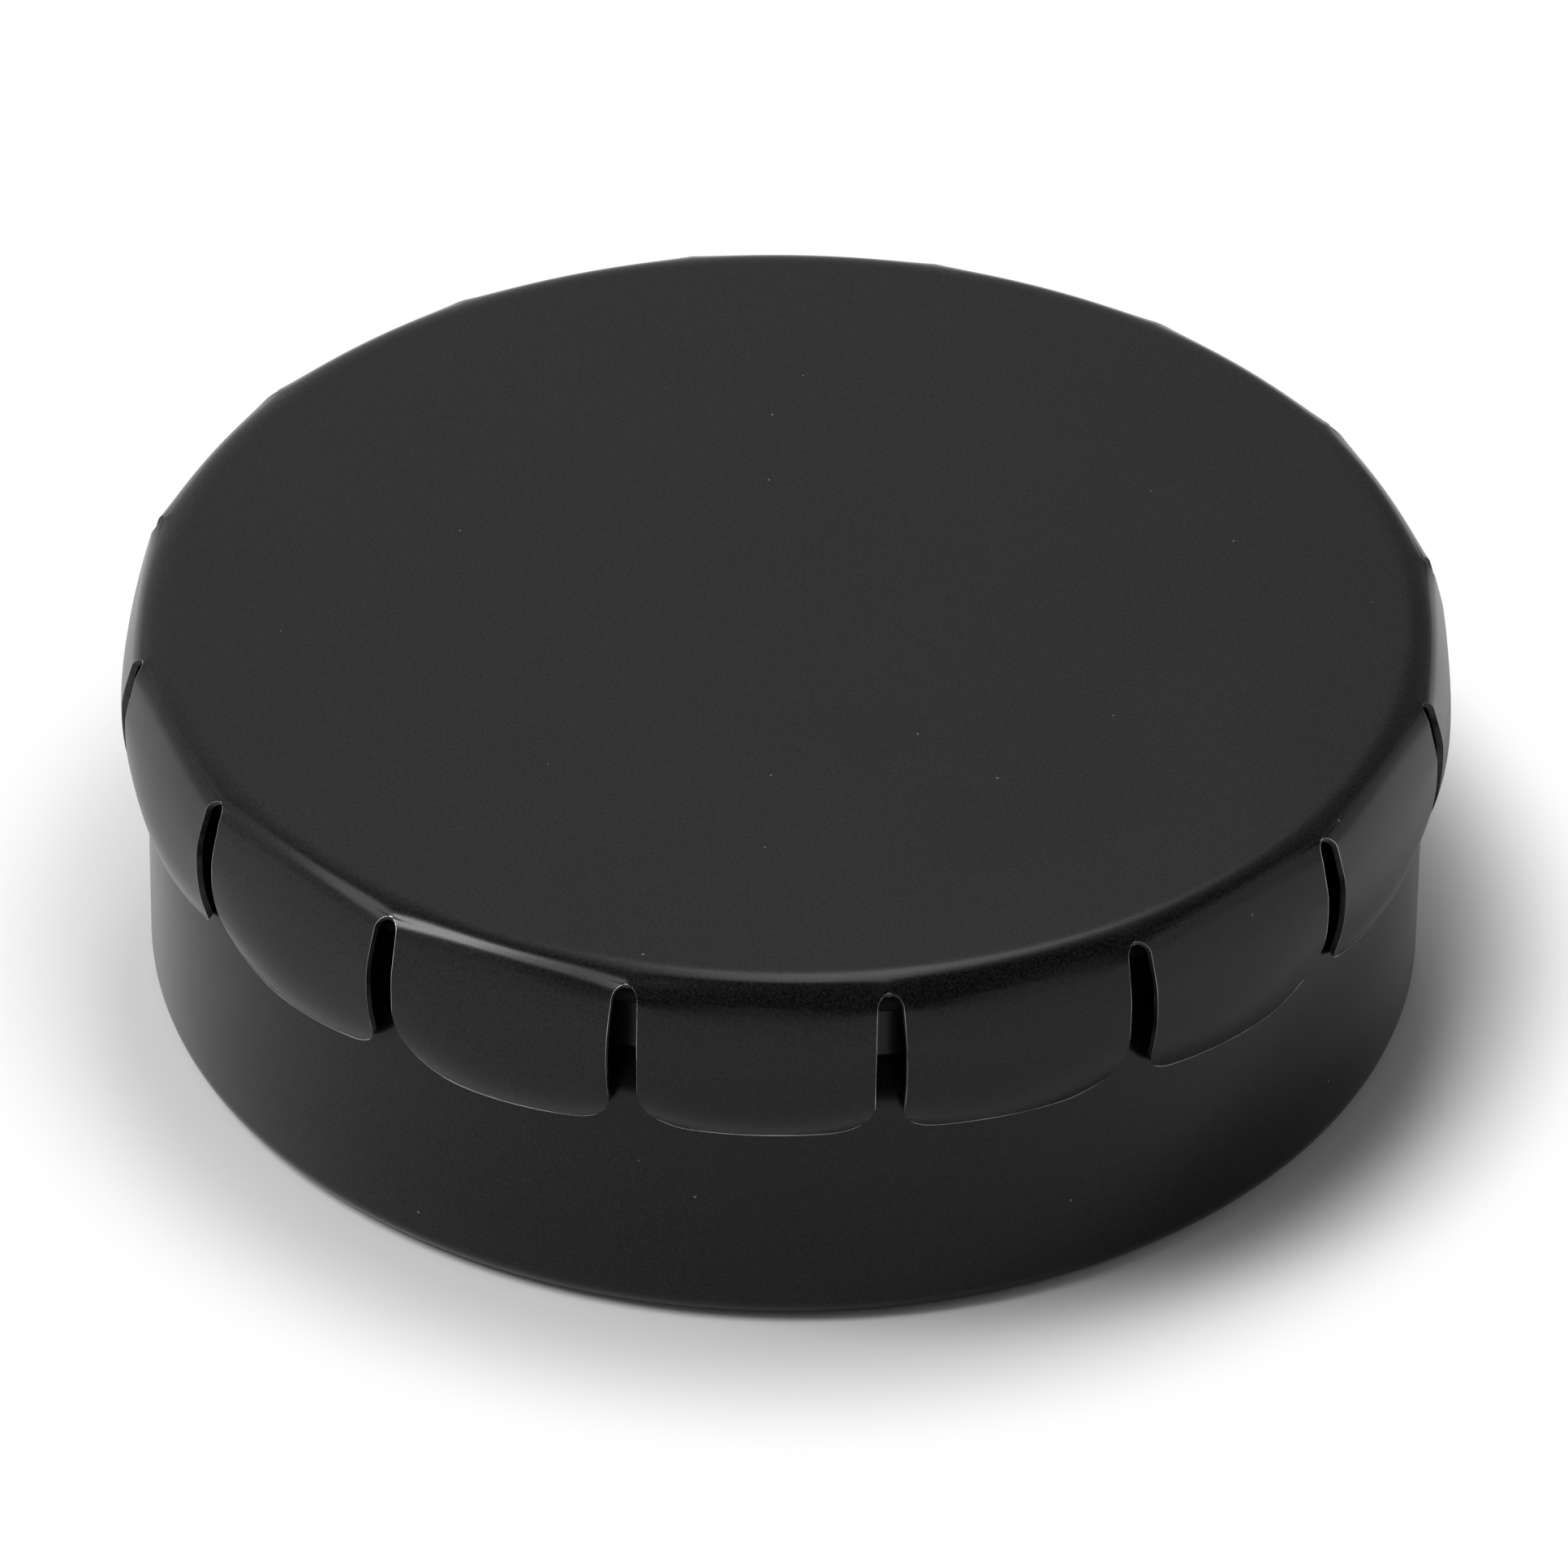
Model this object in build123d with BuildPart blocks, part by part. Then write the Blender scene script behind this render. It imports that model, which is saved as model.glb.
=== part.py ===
from build123d import *
import os
from math import asin, cos, degrees, hypot, radians, sin, sqrt, tan

# A round snap-lid mint tin, closed, pressed from lacquered tinplate in two pieces: a drawn cup with a
# rolled rim on a drawn-in neck, and a lid whose skirt is slit into springy tabs that clasp the cup.
# Each piece is one sheet of even thickness, so its section is a line down the middle of the sheet,
# given the sheet's width and turned about the tin's axis.
# Millimetres. The origin is the middle of the base, +Z runs up the axis, and the lid tips open
# about a line at the back (+Y), with a tab in the middle of the front, the back and each side.

# the tin
sheet = 0.23                # thickness of the tinplate
lid_diameter = 48.0         # over the tabs where they stand out furthest
tin_height = 14.8           # from the table to the closed lid's panel

# the lid
lid_depth = 6.3             # from the panel down to the tips of the tabs
belly_depth = 4.1           # from the panel down to where the tabs stand out furthest
shoulder_radius = 1.1       # outside, between the panel and the tabs
upper_bow = 10.0            # radius of the tab's section above its belly
lower_bow = 7.0             # radius of the tab's section below its belly
tab_count = 16
tab_corner = 1.5            # radius of a tab's lower corners
slot_width = 1.0            # between two tabs
slot_start = 0.55           # from the panel down to the round end of a slot

# the cup
base_corner = 0.8           # outside, between the base and the wall
foot_width = 1.3            # ring that the tin stands on
base_recess = 0.35          # from the table up to the base panel
base_bend = 0.5             # bends beside the foot, at mid sheet
ledge_cover = 0.7           # how far the tabs reach down past the ledge
ledge_slope = 20            # degrees above level
neck_bend = 0.45            # bends above and below the ledge, at mid sheet
rim_turn = 270              # degrees that the edge of the rim is rolled

# how the pieces meet
rim_gap = 0.32              # from the rolled rim to the inside of the lid's shoulder
tip_gap = 0.32              # from the tips of the tabs to the cup's wall
swing_gap = 0.25            # from the front tips to the rim as the lid tips open
hinge_setback = 0.1         # from the inner edge of the rear tips back to the hinge line
hinge_rise = 0.4            # from the tips of the tabs up to the hinge line

# the lid's section, outside: panel, shoulder, and a tab bowed out to its belly and in to its tip
lid_radius = lid_diameter / 2
bow_center = lid_radius - upper_bow
shoulder_height = tin_height - shoulder_radius
belly_height = tin_height - belly_depth
tip_height = tin_height - lid_depth
lean = asin((shoulder_height - belly_height) / (upper_bow - shoulder_radius))
panel_radius = bow_center + (upper_bow - shoulder_radius) * cos(lean)
tuck = asin((belly_height - tip_height) / lower_bow)
tip_radius = lid_radius - lower_bow * (1 - cos(tuck)) - sheet * cos(tuck)

# the way of the front tips' inner edge about the hinge line, as they pass the rim
hinge_radius = tip_radius + hinge_setback
hinge_height = tip_height + hinge_rise
tip_drop = hinge_rise - sheet * sin(tuck)
tip_reach = hypot(tip_radius + hinge_radius, tip_drop)
passing_radius = sqrt(tip_reach**2 - (shoulder_height - hinge_height) ** 2) - hinge_radius

# the cup's section, at mid sheet: the rim nests in the lid's shoulder, clear of the passing tips
wall_radius = tip_radius - tip_gap - sheet / 2
foot_radius = wall_radius + sheet / 2 - base_corner - foot_width
rim_radius = shoulder_radius - sheet - rim_gap
rim_center = min(panel_radius, passing_radius - swing_gap - rim_radius)
neck_radius = rim_center - rim_radius + sheet / 2
ledge_height = tip_height + ledge_cover
ledge_rise = (wall_radius - neck_radius) * tan(radians(ledge_slope))

os.makedirs("parts", exist_ok=True)
print(f"tab tips, inside radius {tip_radius:.2f}, hinge line at y {hinge_radius:.3f}, z {hinge_height:.3f}")
print(f"cup over its wall {2 * wall_radius + sheet:.2f}, over its rim {2 * (rim_center + rim_radius):.2f}")
print(f"cup inside its neck {2 * neck_radius - sheet:.2f}, panel radius {panel_radius:.2f}")

# Cup: the base panel stands a little above a foot ring, the wall turns in over a ledge to the neck,
# and the neck ends in a rolled rim, so that no cut edge is left to touch.
with BuildPart() as cup:
    with BuildSketch(Plane.XZ) as cup_section:
        with BuildLine() as cup_line:
            body = FilletPolyline(
                (0, base_recess + sheet / 2),
                (foot_radius - base_recess, base_recess + sheet / 2),
                (foot_radius, sheet / 2),
                (wall_radius, sheet / 2),
                (wall_radius, ledge_height),
                (neck_radius, ledge_height + ledge_rise),
                (neck_radius, shoulder_height),
                radius=[base_bend, base_bend, base_corner - sheet / 2, neck_bend, neck_bend],
            )
            rim = CenterArc((rim_center, shoulder_height), rim_radius - sheet / 2, 180, -rim_turn)
        trace(line_width=sheet)
    revolve(axis=Axis.Z)
cup.part.label = "cup"
export_step(cup.part, "parts/cup.step")

# Slot cutter, seen from the front: one slot with a round top, and under it the rounded lower
# corners of the tabs on each side. It starts at the panel's edge, so that the panel stays whole.
slot_top = tin_height - slot_start
with BuildPart() as slot_cutter:
    with BuildSketch(Plane.XZ.offset(panel_radius)) as slot_face:
        with Locations((0, slot_top - slot_width / 2)):
            Circle(slot_width / 2)
            Rectangle(slot_width, slot_top - slot_width / 2 - tip_height, align=(Align.CENTER, Align.MAX))
        with Locations((0, tip_height)):
            Rectangle(slot_width + 4 * tab_corner, tip_height, align=(Align.CENTER, Align.MAX))
        tab_corners = slot_face.vertices().group_by(Axis.Y)[1].sort_by(Axis.X)[1:3]
        fillet(tab_corners, tab_corner)
    extrude(amount=lid_radius)

# Lid: the panel, the shoulder and the bowed skirt, then the slots that part the skirt into tabs.
with BuildPart() as lid:
    with BuildSketch(Plane.XZ) as lid_section:
        with BuildLine() as lid_line:
            panel = Line((0, tin_height - sheet / 2), (panel_radius, tin_height - sheet / 2))
            shoulder = CenterArc(
                (panel_radius, shoulder_height), shoulder_radius - sheet / 2, 90, degrees(lean) - 90
            )
            upper = CenterArc((bow_center, belly_height), upper_bow - sheet / 2, degrees(lean), -degrees(lean))
            lower = CenterArc(
                (lid_radius - lower_bow, belly_height), lower_bow - sheet / 2, 0, -degrees(tuck)
            )
        trace(line_width=sheet)
    revolve(axis=Axis.Z)
    with PolarLocations(0, tab_count, start_angle=180 / tab_count):
        add(slot_cutter.part, mode=Mode.SUBTRACT)
lid.part.label = "lid"
export_step(lid.part, "parts/lid.step")
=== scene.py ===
from math import acos, asin, cos, pi, radians, sin, tan

import bmesh
import bpy
import numpy as np
from mathutils import Matrix, Vector


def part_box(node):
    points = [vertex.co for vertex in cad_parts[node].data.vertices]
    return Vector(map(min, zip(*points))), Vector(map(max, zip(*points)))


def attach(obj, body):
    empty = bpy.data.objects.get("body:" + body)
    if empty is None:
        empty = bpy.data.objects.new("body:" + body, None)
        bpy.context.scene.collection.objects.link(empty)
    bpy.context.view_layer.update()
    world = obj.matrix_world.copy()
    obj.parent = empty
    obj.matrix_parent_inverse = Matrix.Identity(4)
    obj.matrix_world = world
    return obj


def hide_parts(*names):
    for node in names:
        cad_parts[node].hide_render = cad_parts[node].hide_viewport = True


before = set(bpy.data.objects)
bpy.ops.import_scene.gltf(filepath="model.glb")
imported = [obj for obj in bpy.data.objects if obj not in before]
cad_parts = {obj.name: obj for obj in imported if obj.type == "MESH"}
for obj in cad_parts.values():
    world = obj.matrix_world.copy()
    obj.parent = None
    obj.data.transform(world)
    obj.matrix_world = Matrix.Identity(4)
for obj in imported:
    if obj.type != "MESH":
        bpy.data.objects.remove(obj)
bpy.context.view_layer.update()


# The lid. One disc of thin tinplate, lacquered black, drawn into a shallow cap and slit round its skirt
# into sixteen springy tabs, which bow out and back in to clasp the cup. The punch that cuts the slots
# leaves their edges bare, and handling rubs the tips, so a fine line of metal runs round every tab.
mm = 0.001
hair = 0.0001 * mm                  # a distance too small to matter
tinplate = 0.23 * mm                # thickness of the sheet
lid_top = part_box("lid")[1].z
lid_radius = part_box("lid")[1].x     # over the tabs' bellies
tip_z = lid_top - 6.3 * mm          # tips of the tabs
belly_z = lid_top - 4.1 * mm        # where the tabs stand out furthest
shoulder = 1.1 * mm                 # radius of the bend from panel to tab
shoulder_z = lid_top - shoulder
upper_bow = 10.0 * mm               # radius of a tab's section above its belly
lower_bow = 7.0 * mm                # and below it
tip_bow = 4.5 * mm                  # the tighter radius at the tip
tip_turn = tip_z + 1.3 * mm         # and where it begins
tab_lean = asin((shoulder_z - belly_z) / (upper_bow - shoulder))    # at the top of a tab
tip_lean = asin((belly_z - tip_z) / lower_bow)                      # at its tip
panel_radius = lid_radius - upper_bow + (upper_bow - shoulder) * cos(tab_lean)
tabs = 16
slot_ends = 0.86 * mm               # gap between two tabs at its top and foot
slot_waist = 1.10 * mm              # and half way down
slot_z = lid_top - 0.33 * mm        # round top of a slot
largest_corner = 3.0 * mm           # radius of a tab's lower corners, at most
half_corner = 1 - cos(pi / 4)       # the share of its radius that half of a corner's arc covers

# The bend from panel to tab tightens gradually: over its first part the slope grows with the square
# of the distance along it, and then evenly, until the sheet leans as the tab does.
along_bend = np.linspace(0, 1, 400)
easing = 0.5                        # share of the bend over which it tightens
slope = np.where(along_bend < easing, along_bend**2 / (2 * easing), along_bend - easing / 2)
slope = slope / (1 - easing / 2) * (pi / 2 - tab_lean)
fall = np.concatenate([[0], np.cumsum((np.sin(slope[1:]) + np.sin(slope[:-1])) / 2)])
advance = np.concatenate([[0], np.cumsum((np.cos(slope[1:]) + np.cos(slope[:-1])) / 2)])
bend_scale = shoulder * (1 - sin(tab_lean)) / fall[-1]
bend_z = lid_top - fall * bend_scale
bend_r = panel_radius + shoulder * cos(tab_lean) - (advance[-1] - advance) * bend_scale
flat_radius = bend_r[0]             # where the flat panel ends


def skirt_radius(z):
    """Distance of the lid's outer face from the axis at a height, in the middle of a tab: the bend from
    the panel, then two arcs that meet at the belly, then a tighter one, as half the square of the height
    below its start times the difference of the two curvatures."""
    upper = lid_radius - upper_bow + np.sqrt(upper_bow**2 - (z - belly_z) ** 2)
    lower = lid_radius - lower_bow + np.sqrt(np.clip(lower_bow**2 - (z - belly_z) ** 2, 0, None))
    lower = lower - np.clip(tip_turn - z, 0, None) ** 2 / 2 * (1 / tip_bow - 1 / lower_bow)
    below_bend = np.where(z > belly_z, upper, lower)
    return np.where(z > bend_z[-1], np.interp(z, bend_z[::-1], bend_r[::-1]), below_bend)


def half_slot(z, corner):
    """Half the gap between two tabs at a height: nothing above the slot, a half circle at its top, sides
    that bow apart as half a sine wave, and at the foot quarter circles, the tabs' lower corners."""
    share_up = np.clip((z - tip_z) / (slot_z - tip_z), 0, 1)
    sides = (slot_ends + (slot_waist - slot_ends) * np.sin(pi * share_up)) / 2
    top = slot_ends / 2
    arch = np.sqrt(np.clip(1 - (np.clip(z - (slot_z - top), 0, top) / top) ** 2, 0, None))
    foot = corner - np.sqrt(np.clip(corner**2 - np.clip(tip_z + corner - z, 0, None) ** 2, 0, None))
    return sides * arch + foot


# Rows of the grid, from the middle of the panel to the foot of the slots.
panel_rows = np.array([0, 4, 9, 14, 18, 20, 21]) * mm               # distances from the axis
above_slots = bend_z >= slot_z
bend_share = along_bend[above_slots] / along_bend[above_slots][-1]
bend_rows = np.interp(np.linspace(0, 1, 18), bend_share, bend_z[above_slots])
bend_rows[-1] = slot_z
arch_rows = slot_z - slot_ends / 2 * (1 - np.cos(np.linspace(0, pi / 2, 12)[1:]))
foot_z = tip_z + largest_corner * half_corner
side_rows = np.linspace(slot_z - slot_ends / 2, foot_z, 18)[1:]
skirt_rows = np.concatenate([bend_rows, arch_rows, side_rows])      # heights
level_rows = np.concatenate([np.full(len(panel_rows), lid_top), skirt_rows])
below_foot = np.linspace(0, 1, 9)[1:]                               # shares of the way to the tip

# Columns across one tab, closer together towards the slots; -1 and 1 are the middles of the slots.
crowding = pi / 2 * 0.82
u = (np.sin(np.linspace(-1, 1, 37) * crowding) / sin(crowding))[None, None, :]

# No two tabs are quite alike: each has its own set towards the cup, its own length and its own rounding
# of the lower corners, the seven in front as measured and the rest a like spread.
rng = np.random.default_rng(11)
set_in = rng.uniform(0, 0.05, tabs) * mm
longer = rng.uniform(-0.06, 0.06, tabs) * mm
corner_left, corner_right = rng.uniform(1.3, 2.6, (2, tabs)) * mm
in_front = slice(9, 16)
set_in[in_front] = np.array([0.10, 0.03, 0.02, 0.14, 0.14, 0.04, 0.10]) * mm
longer[in_front] = np.array([0, 0.20, 0.12, -0.06, -0.05, 0, 0]) * mm
corner_left[in_front] = np.array([3.0, 3.0, 2.6, 1.9, 1.3, 1.3, 1.3]) * mm
corner_right[in_front] = np.array([1.3, 1.3, 1.4, 1.6, 2.4, 2.7, 3.0]) * mm
corner = np.where(u < 0, corner_left[:, None, None], corner_right[:, None, None])
drop = longer[:, None, None] * (1 - u**2)                           # of the tip's line, at each column


def rows_down_to(line):
    """Heights of the grid [tab, row, column]: level rows to the foot of the slots, and below it rows that
    share out the way down to a line."""
    level = level_rows[None, :, None] * np.ones_like(line)
    return np.concatenate([level, foot_z - below_foot[None, :, None] * (foot_z - line)], 1)


# Below the foot a tab's sides follow the upper half of each corner, and the rows sink to the tip's own
# line, which is the lower half of the corners.
side_z = rows_down_to(tip_z + half_corner * corner)
gap = np.where(side_z > slot_z - hair, 0, half_slot(side_z, corner))
from_side = (1 - np.abs(u)) * (pi / tabs * lid_radius - gap[:, -1:]) + half_corner * corner
tip_line = tip_z + corner - np.sqrt(corner**2 - np.clip(corner - from_side, 0, None) ** 2) - drop
z = rows_down_to(tip_line)
on_panel = np.concatenate([panel_rows, np.zeros(z.shape[1] - len(panel_rows))])[None, :, None]
on_skirt = np.arange(z.shape[1])[None, :, None] >= len(panel_rows)
r = np.where(on_skirt, skirt_radius(z), on_panel)

# Across its upper part each tab is flatter than the round panel, and across its lower part rounder, its
# corners tucked in; the sheet stands a little proud over the top of a slot, where nothing pulled it down.
out_of_round = r * u**2 * (1 / cos(pi / tabs) - 1)                  # of a quite flat tab
flatter = 0.42 * np.clip((lid_top - z) / (0.8 * mm), 0, 1)
rounder = 0.95 * np.clip((lid_top - 2.3 * mm - z) / (4 * mm), 0, 1)
proud_z = lid_top - 0.3 * mm
proud_reach = np.where(z > proud_z, 0.17 * mm, 0.6 * mm)
proud = 0.08 * mm * u**6 * np.exp(-(((z - proud_z) / proud_reach) ** 2))
inwards = set_in[:, None, None] * np.clip((belly_z - z) / (belly_z - tip_z), 0, 1) ** 2
moved = (flatter - rounder) * out_of_round + proud - inwards
r = r + np.where(on_skirt & (r > flat_radius + hair), moved, 0)

slit = gap / np.maximum(r, mm)                                      # angle that half a slot takes up
tab_middle = np.arange(tabs)[:, None, None] * 2 * pi / tabs
angle = tab_middle + u * (pi / tabs - slit)
lid_grid = np.stack([r * np.cos(angle), r * np.sin(angle), z], -1)

# How far each point lies from the nearest cut edge, along the leaning sheet: from the tab's side and
# tip, the rounded corner between them, or the arch over the slot.
beside = (1 - np.abs(u)) * (pi / tabs - slit) * r + gap - half_slot(side_z, 0)
under = (z - tip_z + drop) / cos(tip_lean)
on_tab = corner - np.hypot(np.clip(corner - beside, 0, None), np.clip(corner - under, 0, None))
from_slot = (1 - np.abs(u)) * pi / tabs * lid_radius
over = np.hypot(from_slot, np.clip(z - (slot_z - slot_ends / 2), 0, None)) - slot_ends / 2
to_edge = np.where(z > slot_z - hair, over, on_tab)
to_edge = np.where(on_skirt, np.clip(to_edge, 0, 3 * mm), 3 * mm)

# The tips are rubbed barest, most of all on one tab at the front right, and the slots hardly at all.
barest = radians(322)
off_barest = (angle % (2 * pi) - barest) / radians(7)
rubbed = np.where(under < beside, 1.0, 0.2) * (1 + 1.6 * np.exp(-(off_barest**2)))


def pressed_sheet(name, grid, face_away):
    """One face of a sheet over a grid of points [patch, row, column]: each point and its neighbours make
    a four-sided face, which looks away from the axis or towards it."""
    patches, rows, columns = grid.shape[:3]
    index = np.arange(patches * rows * columns).reshape(patches, rows, columns)
    around = [index[:, :-1, :-1], index[:, 1:, :-1], index[:, 1:, 1:], index[:, :-1, 1:]]
    faces = np.stack(around if face_away else around[::-1], -1).reshape(-1, 4)
    mesh = bpy.data.meshes.new(name)
    mesh.from_pydata(grid.reshape(-1, 3), [], faces)
    mesh.update()
    piece = bpy.data.objects.new(name, mesh)
    bpy.context.scene.collection.objects.link(piece)
    return piece


def weld(piece):
    """Points that coincide, at the axis or along a line where no slit is open, become one."""
    work = bmesh.new()
    work.from_mesh(piece.data)
    bmesh.ops.remove_doubles(work, verts=work.verts, dist=0.001 * mm)
    work.to_mesh(piece.data)
    work.free()
    piece.data.polygons.foreach_set("use_smooth", np.ones(len(piece.data.polygons), bool))
    piece.data.update()


def to_thickness(piece, offset):
    """Gives the sheet its thickness, inwards from the face at offset -1 and both ways at 0, and breaks the
    sharp corners of its cut edge. The piece's finishes are, in order, those of its outer face, its inner
    face, the cut edge and the broken corners."""
    wall = piece.modifiers.new("thickness", "SOLIDIFY")
    wall.thickness = tinplate
    wall.offset = offset
    wall.use_quality_normals = True
    wall.material_offset, wall.material_offset_rim = 1, 2
    broken = piece.modifiers.new("broken edge", "BEVEL")
    broken.width = 0.025 * mm
    broken.segments = 2
    broken.limit_method = "ANGLE"
    broken.angle_limit = radians(50)
    broken.material = 3
    broken.harden_normals = True


def fill(tree, socket, value):
    """Sets a node's input to a plain value, or links it where the value is another node's output."""
    if isinstance(value, bpy.types.NodeSocket):
        tree.links.new(value, socket)
    else:
        socket.default_value = value


def node(tree, kind, **inputs):
    """A node with its inputs filled by name, with _ for a space in the name."""
    made = tree.nodes.new(kind)
    for name, value in inputs.items():
        fill(tree, made.inputs[name.replace("_", " ")], value)
    return made


def noise(tree, place, scale, detail):
    """Noise from about 0.3 to 0.7, with a scale in patches to the metre."""
    return node(tree, "ShaderNodeTexNoise", Vector=place, Scale=scale, Detail=detail).outputs["Fac"]


def ranged(tree, value, between, to, smooth=False):
    """A value between two limits carried over to two others, evenly or as a smooth step, and held there."""
    made = node(
        tree,
        "ShaderNodeMapRange",
        Value=value,
        From_Min=between[0],
        From_Max=between[1],
        To_Min=to[0],
        To_Max=to[1],
    )
    made.interpolation_type = "SMOOTHSTEP" if smooth else "LINEAR"
    return made.outputs[0]


def worked_out(tree, operation, first, second=0.0):
    """The result of one operation on one or two values."""
    made = tree.nodes.new("ShaderNodeMath")
    made.operation = operation
    fill(tree, made.inputs[0], first)
    fill(tree, made.inputs[1], second)
    return made.outputs[0]


def grey(tree, tone):
    """The colour of a tone alone."""
    return node(tree, "ShaderNodeCombineColor", Red=tone, Green=tone, Blue=tone).outputs[0]


def over_colour(tree, share, below, above):
    """One colour laid over another where the share is 1."""
    made = tree.nodes.new("ShaderNodeMix")
    made.data_type = "RGBA"
    fill(tree, made.inputs[0], share)
    fill(tree, made.inputs[6], below)
    fill(tree, made.inputs[7], above)
    return made.outputs[2]


def carried(tree, name):
    """The value that the lid's points carry under a name."""
    made = tree.nodes.new("ShaderNodeAttribute")
    made.attribute_name = name
    return made.outputs["Fac"]


def finish_named(name):
    """An empty material with its shader and the object's own coordinates, ready for a finish."""
    finish = bpy.data.materials.new(name)
    finish.use_nodes = True
    tree = finish.node_tree
    place = tree.nodes.new("ShaderNodeTexCoord").outputs["Object"]
    return finish, tree, tree.nodes["Principled BSDF"], place


def black_lacquer(name, depths=(0.0005, 0.0105), glosses=(0.20, 0.25), sheen=0.25, worn=False):
    """Satin black lacquer: near black, faintly uneven in depth and gloss, with the fine grain of a sprayed
    and baked coat and a few specks of dust. Where it is worn, bare metal shows as far from the cut edge as
    a patchy width, in millimetres, times how hard that place is rubbed."""
    finish, tree, shader, place = finish_named(name)
    cloud = noise(tree, place, 120, 4)
    grain = noise(tree, place, 11000, 1)
    cells = node(tree, "ShaderNodeTexVoronoi", Vector=place, Scale=1000)
    drawn = node(tree, "ShaderNodeSeparateColor", Color=cells.outputs["Color"]).outputs[0]
    rare = worked_out(tree, "GREATER_THAN", drawn, 0.86)
    small = worked_out(tree, "LESS_THAN", cells.outputs["Distance"], 0.05)
    dust = worked_out(tree, "MULTIPLY", rare, small)
    black = grey(tree, ranged(tree, grain, (0.3, 0.7), depths))
    colour = over_colour(tree, dust, black, (0.14, 0.14, 0.13, 1))
    gloss = ranged(tree, cloud, (0.3, 0.7), glosses)
    if worn:
        width = ranged(tree, noise(tree, place, 420, 4), (0.4, 0.7), (0.02, 0.09))
        width = worked_out(tree, "MULTIPLY", width, carried(tree, "rubbed"))
        bare = worked_out(tree, "LESS_THAN", carried(tree, "edge_near"), width)
        colour = over_colour(tree, bare, colour, (0.52, 0.52, 0.5, 1))
        gloss = worked_out(tree, "MAXIMUM", gloss, worked_out(tree, "MULTIPLY", bare, 0.45))
        fill(tree, shader.inputs["Metallic"], bare)
    fill(tree, shader.inputs["Base Color"], colour)
    fill(tree, shader.inputs["Roughness"], gloss)
    relief = node(tree, "ShaderNodeBump", Height=grain, Strength=0.02, Distance=0.02 * mm)
    fill(tree, shader.inputs["Normal"], relief.outputs[0])
    shader.inputs["Specular IOR Level"].default_value = sheen
    return finish


def bare_tinplate(name, tones, rough):
    """Tinned steel: grey metal whose brightness and gloss vary in fine streaks and spots."""
    finish, tree, shader, place = finish_named(name)
    spots = noise(tree, place, 900, 5)
    fill(tree, shader.inputs["Base Color"], grey(tree, ranged(tree, spots, (0.3, 0.7), tones)))
    fill(tree, shader.inputs["Roughness"], ranged(tree, spots, (0.3, 0.7), (rough - 0.05, rough + 0.07)))
    shader.inputs["Metallic"].default_value = 1
    return finish


lid = pressed_sheet("lid_shell", lid_grid, face_away=True)
for name, values in (("edge_near", to_edge / mm), ("rubbed", rubbed)):
    at_points = lid.data.attributes.new(name, "FLOAT", "POINT")
    at_points.data.foreach_set("value", values.astype(np.float32).ravel())
weld(lid)
to_thickness(lid, -1)
lid_lacquer = black_lacquer("lid lacquer", worn=True)
# The inner faces take a darker, duller copy of the black lacquer. This is painted shade, so the rolled rim
# and neck seen through the slots, and the inside of the tin, read near black as they would in deep shade.
inner_lacquer_darkened_as_shade = black_lacquer("inner lacquer darkened as shade", depths=(0.002, 0.006), glosses=(0.46, 0.52), sheen=0.08)
# The cut edge and its broken corners are tinplate made far darker than bright tin. This is painted shade
# for the dim faces inside the slots and under their arches.
cut_edge_darkened_as_shade = bare_tinplate("cut edge", (0.03, 0.16), 0.55)
broken_corner_darkened_as_shade = bare_tinplate("broken corner", (0.02, 0.11), 0.42)
for finish in (lid_lacquer, inner_lacquer_darkened_as_shade, cut_edge_darkened_as_shade, broken_corner_darkened_as_shade):
    lid.data.materials.append(finish)
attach(lid, "lid")
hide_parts("lid")


# The cup. One drawn cup of the same tinplate, lacquered black: a base panel raised inside a foot ring, a
# straight wall that turns in over a small ledge to the neck, and a rim rolled outwards, which stiffens
# the mouth and which the tabs snap over.
base_corner = 1.0 * mm              # outside, between the base and the wall
foot_width = 1.1 * mm               # ring that the tin stands on
base_recess = 0.35 * mm             # up to the base panel
tip_gap = 0.32 * mm                 # from the tips of the tabs to the wall
tip_inside = lid_radius - lower_bow * (1 - cos(tip_lean)) - tinplate * cos(tip_lean)
wall_mid = tip_inside - tip_gap - tinplate / 2                      # radii and heights at mid sheet
foot_mid = wall_mid + tinplate / 2 - base_corner - foot_width
panel_mid = base_recess + tinplate / 2
rim_center = panel_radius
rim_mid = 0.435 * mm                # radius of the roll
neck_mid = rim_center - rim_mid
ledge_z = tip_z + 1.3 * mm
ledge_rise = wall_mid - neck_mid


def bent_line(points, bends, steps=8):
    """A line through the points with each inner corner replaced by an arc of the given radius, as it is
    when sheet is bent: the arc leaves each side at its radius over the tangent of half the corner's angle,
    and its points are weighted means of its ends, by the sines of their shares of the sweep."""
    line = [np.array(points[:1])]
    for before, at, after, bend in zip(points, points[1:], points[2:], bends):
        before, at, after = map(np.array, (before, at, after))
        come = (before - at) / np.linalg.norm(before - at)
        go = (after - at) / np.linalg.norm(after - at)
        half_angle = acos(np.clip(come @ go, -1, 1)) / 2
        center = at + (come + go) / np.linalg.norm(come + go) * bend / sin(half_angle)
        start = at + come * bend / tan(half_angle) - center
        end = at + go * bend / tan(half_angle) - center
        sweep = acos(np.clip(start @ end / bend**2, -1, 1))
        t = np.linspace(0, 1, steps + 1)[:, None]
        line.append(center + (np.sin((1 - t) * sweep) * start + np.sin(t * sweep) * end) / sin(sweep))
    line.append(np.array(points[-1:]))
    return np.concatenate(line)


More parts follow.
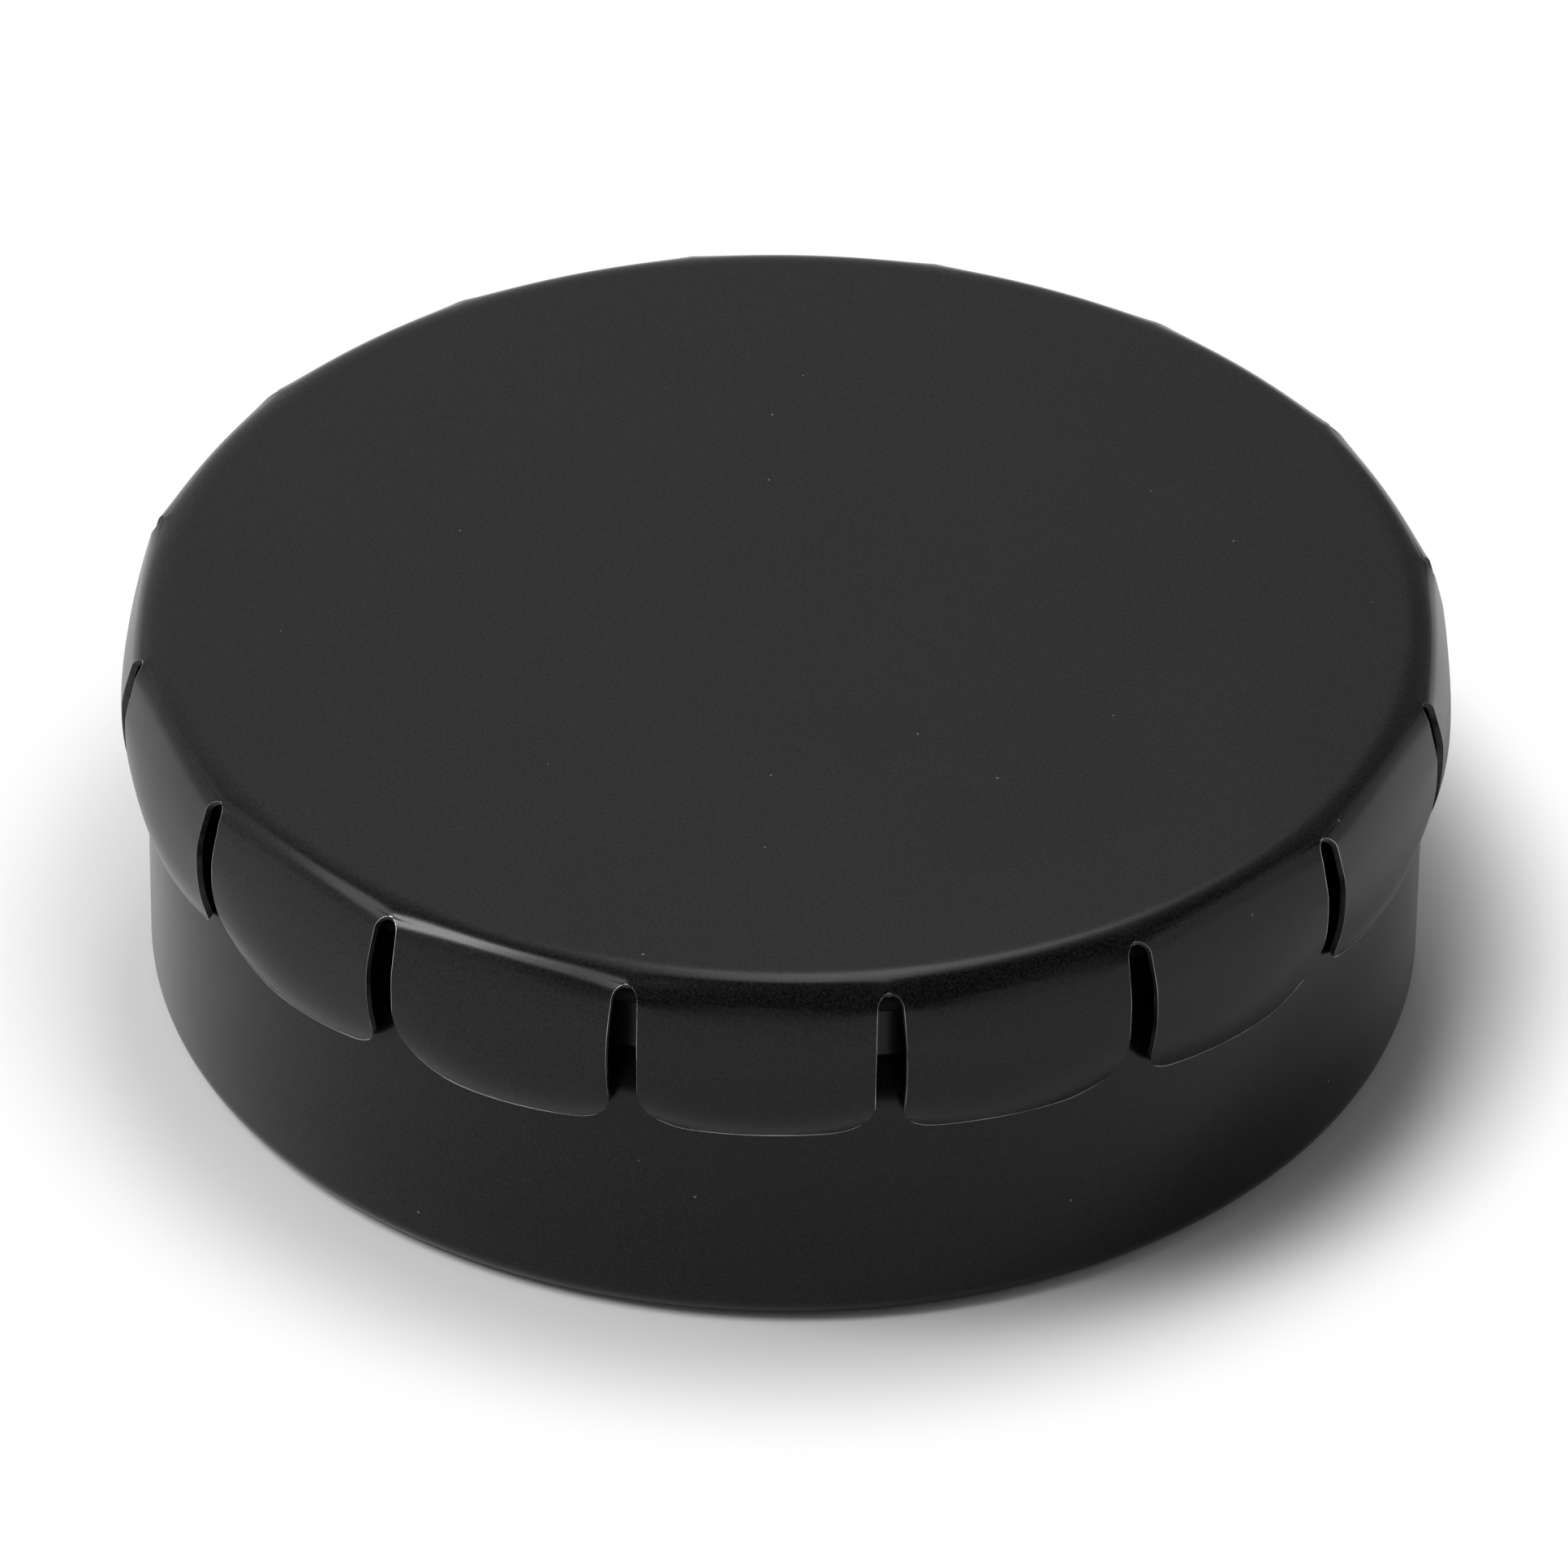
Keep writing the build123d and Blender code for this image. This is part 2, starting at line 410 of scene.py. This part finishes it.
panel_out = np.linspace(0, foot_mid - base_recess - 1.2 * mm, 6)
panel_line = np.stack([panel_out[:-1], np.full(len(panel_out) - 1, panel_mid)], -1)
body_line = bent_line(
    [
        (panel_out[-1], panel_mid),
        (foot_mid - base_recess, panel_mid),
        (foot_mid, tinplate / 2),
        (wall_mid, tinplate / 2),
        (wall_mid, ledge_z),
        (neck_mid, ledge_z + ledge_rise),
        (neck_mid, shoulder_z),
    ],
    [0.5 * mm, 0.5 * mm, base_corner - tinplate / 2, 2.9 * mm, 0.5 * mm],
)
rolled = np.radians(np.linspace(180, -90, 28)[1:])
rim_line = np.stack([rim_center + rim_mid * np.cos(rolled), shoulder_z + rim_mid * np.sin(rolled)], -1)
section = np.concatenate([panel_line, body_line, rim_line])
section_r, section_z = section[:, 0, None], section[:, 1, None]
turned = np.linspace(0, 2 * pi, 241)
cup_grid = [section_r * np.cos(turned), section_r * np.sin(turned), section_z * np.ones_like(turned)]

cup = pressed_sheet("cup_shell", np.stack(cup_grid, -1)[None], face_away=False)
weld(cup)
to_thickness(cup, 0)
# The cup's inner faces and its rolled rim take the darker copy of the lacquer, which is painted shade.
for finish in (black_lacquer("cup lacquer"), inner_lacquer_darkened_as_shade, cut_edge_darkened_as_shade, broken_corner_darkened_as_shade):
    cup.data.materials.append(finish)
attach(cup, "cup")
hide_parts("cup")


# The floor. A wide sheet of white paper. For the camera it is quite white from close round the tin, and
# for what is mirrored in the lacquer from further out, and between the tin and there it keeps the shadow.
paper_reach = 3.0
floor_corners = [(-1, -1, 0), (1, -1, 0), (1, 1, 0), (-1, 1, 0)]
floor_mesh = bpy.data.meshes.new("floor")
floor_mesh.from_pydata([Vector(c) * paper_reach for c in floor_corners], [], [(0, 1, 2, 3)])
floor = bpy.data.objects.new("floor", floor_mesh)
bpy.context.scene.collection.objects.link(floor)
paper, tree, shader, place = finish_named("white paper")
paper_tone = ranged(tree, noise(tree, place, 300, 3), (0, 1), (0.76, 0.78))
fill(tree, shader.inputs["Base Color"], grey(tree, paper_tone))
shader.inputs["Roughness"].default_value = 0.9
shader.inputs["Specular IOR Level"].default_value = 0.1
rays = tree.nodes.new("ShaderNodeLightPath").outputs
mirrored = worked_out(tree, "MAXIMUM", rays["Is Glossy Ray"], rays["Is Transmission Ray"])
from_tin = tree.nodes.new("ShaderNodeVectorMath")
from_tin.operation = "LENGTH"
fill(tree, from_tin.inputs[0], place)
far_off = from_tin.outputs["Value"]
white_seen = ranged(tree, far_off, (23.5 * mm, 31 * mm), (0.0, 1.0), smooth=True)
white_mirrored = ranged(tree, far_off, (24.5 * mm, 55 * mm), (0.0, 0.88), smooth=True)
seen = worked_out(tree, "MULTIPLY", rays["Is Camera Ray"], white_seen)
reflected = worked_out(tree, "MULTIPLY", mirrored, white_mirrored)
blend = tree.nodes.new("ShaderNodeMixShader")
fill(tree, blend.inputs[0], worked_out(tree, "MAXIMUM", seen, reflected))
fill(tree, blend.inputs[1], shader.outputs[0])
fill(tree, blend.inputs[2], node(tree, "ShaderNodeEmission", Strength=1).outputs[0])
fill(tree, tree.nodes["Material Output"].inputs["Surface"], blend.outputs[0])
floor_mesh.materials.append(paper)


# The light. A softbox on the left that is brighter down its middle, a smaller one overhead, and a pale
# room: a back wall that darkens to the right, pale walls at both sides, and little in front.
def softbox(name, towards, size, radiance, tilt=0):
    """A flat lamp 0.6 m from the tin in a direction from it, facing it and turned about that line. A lamp
    of one square metre gives a radiance of one at pi watts."""
    lamp = bpy.data.lights.new(name, "AREA")
    lamp.shape = "RECTANGLE"
    lamp.size, lamp.size_y = size
    lamp.energy = radiance * size[0] * size[1] * pi
    holder = bpy.data.objects.new(name, lamp)
    way = Vector(towards).normalized()
    holder.location = way * 0.6
    facing = way.to_track_quat("Z", "Y").to_matrix() @ Matrix.Rotation(radians(tilt), 3, "Z")
    holder.rotation_euler = facing.to_euler()
    bpy.context.scene.collection.objects.link(holder)


softbox("softbox on the left", (-0.575, -0.175, 0.80), (0.42, 0.34), 2.6, tilt=33)
softbox("bright middle of the softbox", (-0.56, -0.20, 0.81), (0.095, 0.28), 15.5, tilt=33)
softbox("softbox overhead", (0.02, 0.46, 0.88), (0.10, 0.32), 3.8)

room = bpy.data.worlds.new("room")
bpy.context.scene.world = room
room.use_nodes = True
tree = room.node_tree
looking = tree.nodes.new("ShaderNodeTexCoord").outputs["Generated"]
way = node(tree, "ShaderNodeSeparateXYZ", Vector=looking).outputs
back_wall = ranged(tree, way["Y"], (0.1, 0.7), (0.08, 0.57), smooth=True)
darkening = ranged(tree, way["X"], (-0.12, 0.24), (1.22, 0.55))
aside = worked_out(tree, "ABSOLUTE", worked_out(tree, "SUBTRACT", way["X"], 0.05))
side_walls = ranged(tree, aside, (0.5, 0.8), (0.0, 0.8), smooth=True)
brightness = worked_out(tree, "MAXIMUM", worked_out(tree, "MULTIPLY", back_wall, darkening), side_walls)
fill(tree, tree.nodes["Background"].inputs["Strength"], brightness)
tree.nodes["Background"].inputs["Color"].default_value = (1, 1, 1, 1)


# The camera. A long lens a little to the right of the front, looking down on the tin.
azimuth, elevation, camera_roll = radians(2.15), radians(35.73), radians(0.66)
camera_distance = 0.4721
to_camera = Vector((sin(azimuth) * cos(elevation), -cos(azimuth) * cos(elevation), sin(elevation)))
lens = bpy.data.cameras.new("camera")
lens.sensor_width = 36
lens.lens = 298.55
camera = bpy.data.objects.new("camera", lens)
turn = (-to_camera).to_track_quat("-Z", "Y").to_matrix()
right, up = turn.col[0], turn.col[1]
aim = Vector((0, 0, 7 * mm)) - right * 0.045 * mm - up * 0.189 * mm
facing = turn @ Matrix.Rotation(camera_roll, 3, "Z")
camera.matrix_world = Matrix.Translation(aim + to_camera * camera_distance) @ facing.to_4x4()
bpy.context.scene.collection.objects.link(camera)
bpy.context.scene.camera = camera
bpy.context.scene.view_settings.view_transform = "Standard"
